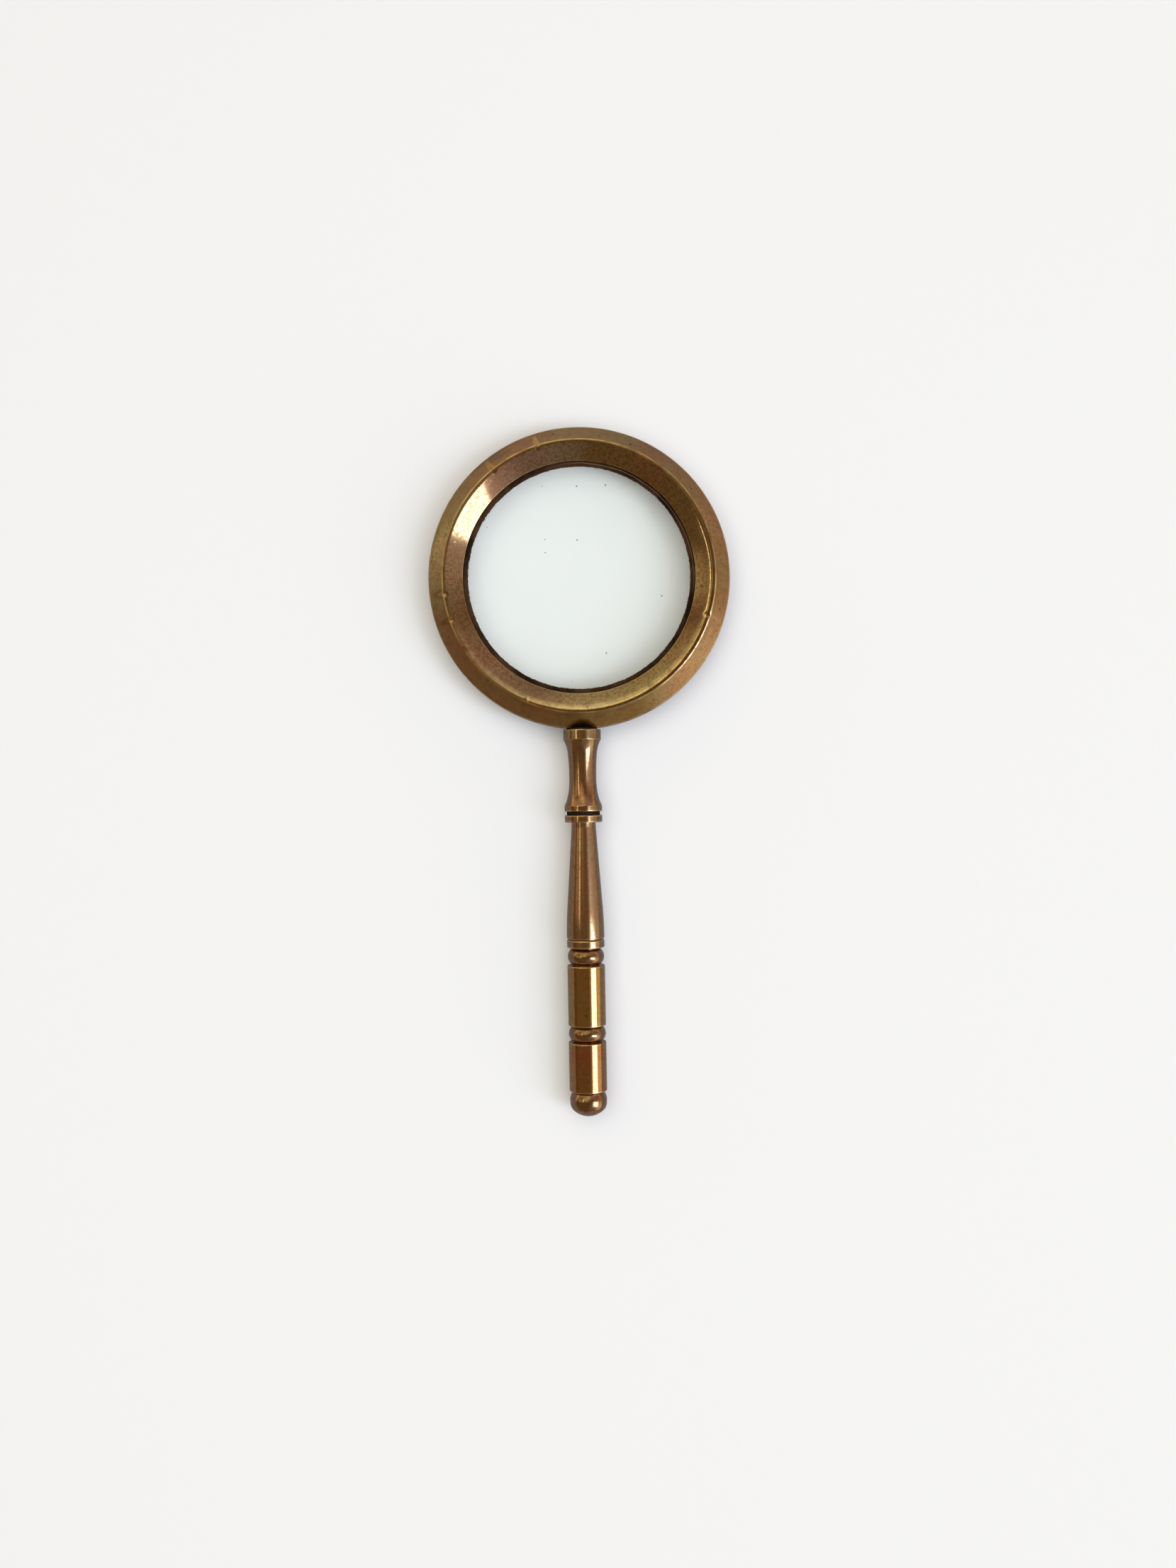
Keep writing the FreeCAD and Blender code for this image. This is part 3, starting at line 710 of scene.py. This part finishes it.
def lens_outline(turn):
    """A double-convex lens with a ground edge."""
    return outline(
        [
            corner(0.0, LENS_LOW.z),
            corner(LENS_RADIUS, LENS_LOW.z + LENS_DOME, LENS_EASE, LENS_CURVE),
            corner(LENS_RADIUS, LENS_HIGH.z - LENS_DOME, LENS_EASE),
            corner(0.0, LENS_HIGH.z, 0.0, LENS_CURVE),
        ],
        LENS_ARC_PIECES,
    )


lens = turned("lens_body", lens_outline, ring_place, LENS_STEPS)
stands_for(lens, "lens", "lens_head", glass)

GASKET_LOW, GASKET_HIGH = (corner.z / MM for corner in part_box("front_gasket"))
GASKET_STEPS = 1100

# The gasket's cut edge: its radius, the level of its underside, and how far out and down its upper
# corner is cut back.
GASKET_RADIUS, GASKET_EDGE_LEVEL = 27.95, 7.66
EDGE_BACK, EDGE_DOWN = 0.12, 0.03

# The edge's tears, of three sizes: how many there are round it, and how deep they go. The shares of
# a tear's depth by which it lifts the edge's underside and lowers its upper corner.
TEARS = [(42.0, 0.12), (110.0, 0.09), (7.0, 0.07)]
TEAR_LIMIT = 0.12
TEAR_LIFT, TEAR_DROP = 0.3, 0.5


def gasket_outline(turn):
    """The front gasket's section, with the ragged inner edge of cut fibre."""
    torn = sum(depth * noise.noise(round_the_axis(turn) * count) for count, depth in TEARS)
    inner = GASKET_RADIUS + TEAR_LIMIT + max(torn, -TEAR_LIMIT)
    return outline(
        [
            corner(inner, GASKET_EDGE_LEVEL + torn * TEAR_LIFT),
            corner(LENS_RADIUS, GASKET_LOW),
            corner(LENS_RADIUS, GASKET_HIGH),
            corner(LIP_RADIUS, GASKET_HIGH),
            corner(inner + EDGE_BACK, GASKET_HIGH - EDGE_DOWN - TEAR_DROP * abs(torn)),
        ]
    )


gasket = turned("gasket_front", gasket_outline, ring_place, GASKET_STEPS)
stands_for(gasket, "front_gasket", "lens_head", gasket_fibre)

# CAD parts that keep their own meshes, and only get a better material.
KEPT_PARTS = {
    "rear_gasket": gasket_fibre,
    "seat_washer": washer_fibre_and_gap_shade,
    "joint_washer": washer_fibre_and_gap_shade,
    "frame_stud": steel,
    "tie_rod": steel,
    "retaining_ring": ring_brass,
}
for node, material in KEPT_PARTS.items():
    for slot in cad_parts[node].material_slots:
        slot.material = material

# ---------------------------------------------------------------- handle

# Radii of the bores for the tie rod and the stud, and how round the pieces' edges are.
ROD_BORE, STUD_BORE = 2.05, 2.06
EDGE, COLLAR_EDGE, BORE_EDGE, FINE_EDGE = 0.22, 0.25, 0.1, 0.05
HANDLE_STEPS = 160


def handle_piece(name, node, brass, corners):
    """One turned brass piece of the handle."""
    points = outline(corners)
    piece = turned(name, lambda turn: points, handle_place, HANDLE_STEPS)
    return stands_for(piece, node, "handle", brass)


def barrel(name, node, brass):
    """A plain length of handle stock with eased ends."""
    start, end, radius = span(node)
    handle_piece(
        name,
        node,
        brass,
        [
            corner(ROD_BORE, start),
            corner(radius, start, EDGE),
            corner(radius, end, EDGE),
            corner(ROD_BORE, end),
        ],
    )


def bead(name, node, hub, lead, tail, bulge):
    """A round bead on a hub, from lead after the piece's start to tail before its end."""
    start, end, _ = span(node)
    handle_piece(
        name,
        node,
        bead_brass,
        [
            corner(ROD_BORE, start),
            corner(hub, start),
            corner(hub, start + lead, FINE_EDGE),
            corner(hub, end - tail, FINE_EDGE, bulge),
            corner(hub, end),
            corner(ROD_BORE, end),
        ],
    )


neck_start, neck_end, stock = span("neck_ferrule")

# The neck: the lengths of its collars; the radii between them, with the stations after its start
# where they are reached and the radii of the hollows that lead there; and the stations at which the
# stud's bore and the rod's bore stop.
UPPER_COLLAR, LOWER_COLLAR = 2.55, 1.42
COVE_RADIUS, COVE_STATION, COVE_HOLLOW = 3.69, 6.0, 8.75
WAIST_RADIUS, WAIST_START, WAIST_END, WAIST_HOLLOW = 3.435, 11.6, 12.65, 61.0
FLARE_RADIUS, FLARE_STATION, FLARE_HOLLOW = 3.82, 16.6, 20.5
FOOT_HOLLOW = 10.9
STUD_STOP, ROD_STOP = 8.2, 11.7

handle_piece(
    "neck",
    "neck_ferrule",
    neck_brass,
    [
        corner(STUD_BORE, neck_start, BORE_EDGE),
        corner(stock, neck_start, EDGE),
        corner(stock, neck_start + UPPER_COLLAR, COLLAR_EDGE),
        corner(COVE_RADIUS, neck_start + COVE_STATION, 0.0, -COVE_HOLLOW),
        corner(WAIST_RADIUS, neck_start + WAIST_START, 0.0, -WAIST_HOLLOW),
        corner(WAIST_RADIUS, neck_start + WAIST_END),
        corner(FLARE_RADIUS, neck_start + FLARE_STATION, 0.0, -FLARE_HOLLOW),
        corner(stock, neck_end - LOWER_COLLAR, COLLAR_EDGE, -FOOT_HOLLOW),
        corner(stock, neck_end, EDGE),
        corner(ROD_BORE, neck_end),
        corner(ROD_BORE, neck_start + ROD_STOP),
        corner(0.0, neck_start + ROD_STOP),
        corner(0.0, neck_start + STUD_STOP),
        corner(STUD_BORE, neck_start + STUD_STOP),
    ],
)
barrel("collar", "grip_collar", neck_brass)

grip_start, grip_end, _ = span("tapered_grip")

# The grip: its root, the taper, the bulge that leads on to the full stock, and the V groove with its
# half-width. Each REACH counts back from the grip's end.
ROOT_RADIUS, ROOT_LENGTH, ROOT_EASE = 3.07, 1.17, 0.3
TAPER_RADIUS, TAPER_REACH = 4.53, 9.6
BLEND_BULGE, BLEND_REACH = 95.6, 2.95
GROOVE_RADIUS, GROOVE_REACH, GROOVE_HALF = 4.46, 2.08, 0.35
GROOVE_LIP_EASE, GROOVE_FOOT_EASE = 0.12, 0.08

handle_piece(
    "grip",
    "tapered_grip",
    grip_brass,
    [
        corner(ROD_BORE, grip_start),
        corner(ROOT_RADIUS, grip_start, FINE_EDGE),
        corner(ROOT_RADIUS, grip_start + ROOT_LENGTH, ROOT_EASE),
        corner(TAPER_RADIUS, grip_end - TAPER_REACH),
        corner(stock, grip_end - BLEND_REACH, 0.0, BLEND_BULGE),
        corner(stock, grip_end - GROOVE_REACH - GROOVE_HALF, GROOVE_LIP_EASE),
        corner(GROOVE_RADIUS, grip_end - GROOVE_REACH, GROOVE_FOOT_EASE),
        corner(stock, grip_end - GROOVE_REACH + GROOVE_HALF, GROOVE_LIP_EASE),
        corner(stock, grip_end, EDGE),
        corner(ROD_BORE, grip_end),
    ],
)
bead("bead_upper", "upper_bead", hub=3.5, lead=0.28, tail=0.19, bulge=2.42)
barrel("barrel_upper", "upper_barrel", upper_brass)
bead("bead_lower", "lower_bead", hub=3.6, lead=0.06, tail=0.14, bulge=2.37)
barrel("barrel_lower", "lower_barrel", lower_brass)

pommel_start, pommel_end, _ = span("pommel")

# The pommel: its spigot, the rise to its girth, its hip and shoulder, the shallow crown at its end, and
# how thick its end is over the bore.
SPIGOT_RADIUS, SPIGOT_LENGTH = 3.92, 0.2
GIRTH_RADIUS, GIRTH_STATION, RISE_BULGE = 4.7, 2.05, 4.5
HIP_RADIUS, HIP_STATION = 4.66, 3.2
SHOULDER_RADIUS, SHOULDER_BULGE = 3.7, 2.64
CROWN = 1.4
CROWN_BULGE = (SHOULDER_RADIUS**2 + CROWN**2) / (2 * CROWN)
END_WALL = 2.3

handle_piece(
    "pommel_knob",
    "pommel",
    bead_brass,
    [
        corner(ROD_BORE, pommel_start),
        corner(SPIGOT_RADIUS, pommel_start),
        corner(SPIGOT_RADIUS, pommel_start + SPIGOT_LENGTH),
        corner(GIRTH_RADIUS, pommel_start + GIRTH_STATION, 0.0, RISE_BULGE),
        corner(HIP_RADIUS, pommel_start + HIP_STATION),
        corner(SHOULDER_RADIUS, pommel_end - CROWN, 0.0, SHOULDER_BULGE),
        corner(0.0, pommel_end, 0.0, CROWN_BULGE),
        corner(0.0, pommel_end - END_WALL),
        corner(ROD_BORE, pommel_end - END_WALL),
    ],
)

# ---------------------------------------------------------------- floor, lights and camera

# The table's white, and the darker tone that it shows in reflections, which is painted shade.
TABLE_WHITE, MIRRORED_TABLE = rgb(0.84, 0.87, 0.89), rgb(0.27, 0.26, 0.28)
TABLE_SIZE = 6.0


def floor_sheet():
    """A plain pale table top, with painted shade wherever it is seen in a reflection."""
    graph = Graph("floor_white")
    path = graph.add("ShaderNodeLightPath").outputs
    mirrored = graph.math("SUBTRACT", path["Is Glossy Ray"], path["Is Transmission Ray"], clamp=True)
    tone = graph.mix(mirrored, TABLE_WHITE, MIRRORED_TABLE)
    surface = graph.add(
        "ShaderNodeBsdfPrincipled",
        {"Base Color": tone, "Roughness": 0.9, "Specular IOR Level": 0.1},
    )
    bpy.ops.mesh.primitive_plane_add(size=TABLE_SIZE)
    floor = bpy.context.object
    floor.name = "floor"
    floor.data.materials.append(graph.finish(surface.outputs[0]))


def toward(azimuth, zenith):
    """The direction with an angle round from +X and an angle down from straight up, in degrees."""
    turn, tilt = math.radians(azimuth), math.radians(zenith)
    return Vector((math.sin(tilt) * math.cos(turn), math.sin(tilt) * math.sin(turn), math.cos(tilt)))


def panel(name, way, width, height, radiance, colour, distance=1.6):
    """A soft lamp that faces the glass, as wide and high as it looks from there, in degrees."""
    across = 2 * distance * math.tan(math.radians(width / 2))
    tall = 2 * distance * math.tan(math.radians(height / 2))
    data = bpy.data.lights.new(name, "AREA")
    data.shape = "RECTANGLE"
    data.size, data.size_y = across, tall
    data.energy = radiance * math.pi * across * tall
    data.color = colour
    lamp = bpy.data.objects.new(name, data)
    bpy.context.scene.collection.objects.link(lamp)
    lamp.location = way * distance
    lamp.rotation_euler = way.to_track_quat("Z", "Y").to_euler()
    return lamp


# Soft patches of light in the room: their direction, the angles from it where they are full and
# gone, in degrees, and what colour they add to the dim brown of the rest.
ROOM_BROWN = (0.20, 0.135, 0.075)
ROOM_PATCHES = [
    (toward(0, 180), 84, 104, (0.36, 0.29, 0.23)),
    (toward(70, 52), 0, 34, (0.17, 0.16, 0.20)),
    (toward(112, 52), 0, 34, (0.37, 0.37, 0.26)),
    (toward(95, 92), 0, 32, (0.72, 0.64, 0.40)),
    (toward(140, 90), 0, 34, (0.50, 0.47, 0.22)),
    (toward(50, 90), 0, 30, (0.34, 0.24, 0.15)),
    (toward(100, 28), 0, 22, (0.16, 0.15, 0.09)),
    (toward(80, 37), 0, 18, (0.18, 0.16, 0.08)),
    (toward(122, 24), 0, 20, (0.40, 0.35, 0.17)),
    (toward(285, 84), 0, 20, (0.22, 0.17, 0.10)),
    (toward(167, 57), 0, 16, (0.42, 0.36, 0.25)),
    (toward(183, 76), 0, 20, (-0.06, -0.04, -0.02)),
    (toward(327, 82), 0, 32, (0.80, 0.74, 0.55)),
    (toward(345, 52), 12, 36, (0.36, 0.34, 0.38)),
    (toward(300, 45), 0, 30, (0.09, 0.12, 0.20)),
    (toward(15, 92), 0, 36, (0.34, 0.20, 0.12)),
    (toward(45, 55), 0, 24, (0.10, 0.08, 0.08)),
    (toward(165, 90), 0, 24, (0.18, 0.20, 0.12)),
]


def room():
    """The dim warm room round the table, with its soft patches of light."""
    world = bpy.data.worlds.new("room")
    bpy.context.scene.world = world
    world.use_nodes = True
    tree = world.node_tree
    place = tree.nodes.new("ShaderNodeTexCoord").outputs["Generated"]
    total = None
    for way, full, gone, colour in ROOM_PATCHES:
        facing = tree.nodes.new("ShaderNodeVectorMath")
        facing.operation = "DOT_PRODUCT"
        facing.inputs[1].default_value = way
        tree.links.new(place, facing.inputs[0])
        fade = tree.nodes.new("ShaderNodeMapRange")
        fade.interpolation_type = "SMOOTHSTEP"
        fade.inputs[1].default_value = math.cos(math.radians(gone))
        fade.inputs[2].default_value = math.cos(math.radians(full))
        tree.links.new(facing.outputs["Value"], fade.inputs["Value"])
        patch = tree.nodes.new("ShaderNodeVectorMath")
        patch.operation = "MULTIPLY_ADD"
        patch.inputs[1].default_value = colour
        patch.inputs[2].default_value = ROOM_BROWN
        tree.links.new(fade.outputs["Result"], patch.inputs[0])
        if total:
            tree.links.new(total, patch.inputs[2])
        total = patch.outputs[0]
    tree.links.new(total, tree.nodes["Background"].inputs["Color"])


# The camera: its lens and place in millimetres, and its turn in degrees.
CAMERA_LENS = 29.3
CAMERA_PLACE = (1.30, -2.96, 330.3)
CAMERA_TURN = -1.04


def look_down():
    """The camera straight over the glass, turned a little so that the handle leans."""
    data = bpy.data.cameras.new("camera")
    data.lens = CAMERA_LENS
    camera = bpy.data.objects.new("camera", data)
    bpy.context.scene.collection.objects.link(camera)
    camera.location = [side * MM for side in CAMERA_PLACE]
    camera.rotation_euler = (0.0, 0.0, math.radians(CAMERA_TURN))
    bpy.context.scene.camera = camera


floor_sheet()
panel("window", toward(-18.5, 46.5), 18.5, 30.0, radiance=4.8, colour=(0.86, 0.98, 1.17), distance=3.0)
panel("far_window", toward(164, 36), 25.0, 7.0, radiance=1.8, colour=(1.0, 0.95, 0.66))
ceiling = panel("ceiling", toward(0, 0), 70.0, 70.0, radiance=1.375, colour=(0.975, 1.0, 1.05))
ceiling.visible_glossy = False
room()
look_down()
bpy.context.scene.view_settings.view_transform = "Standard"
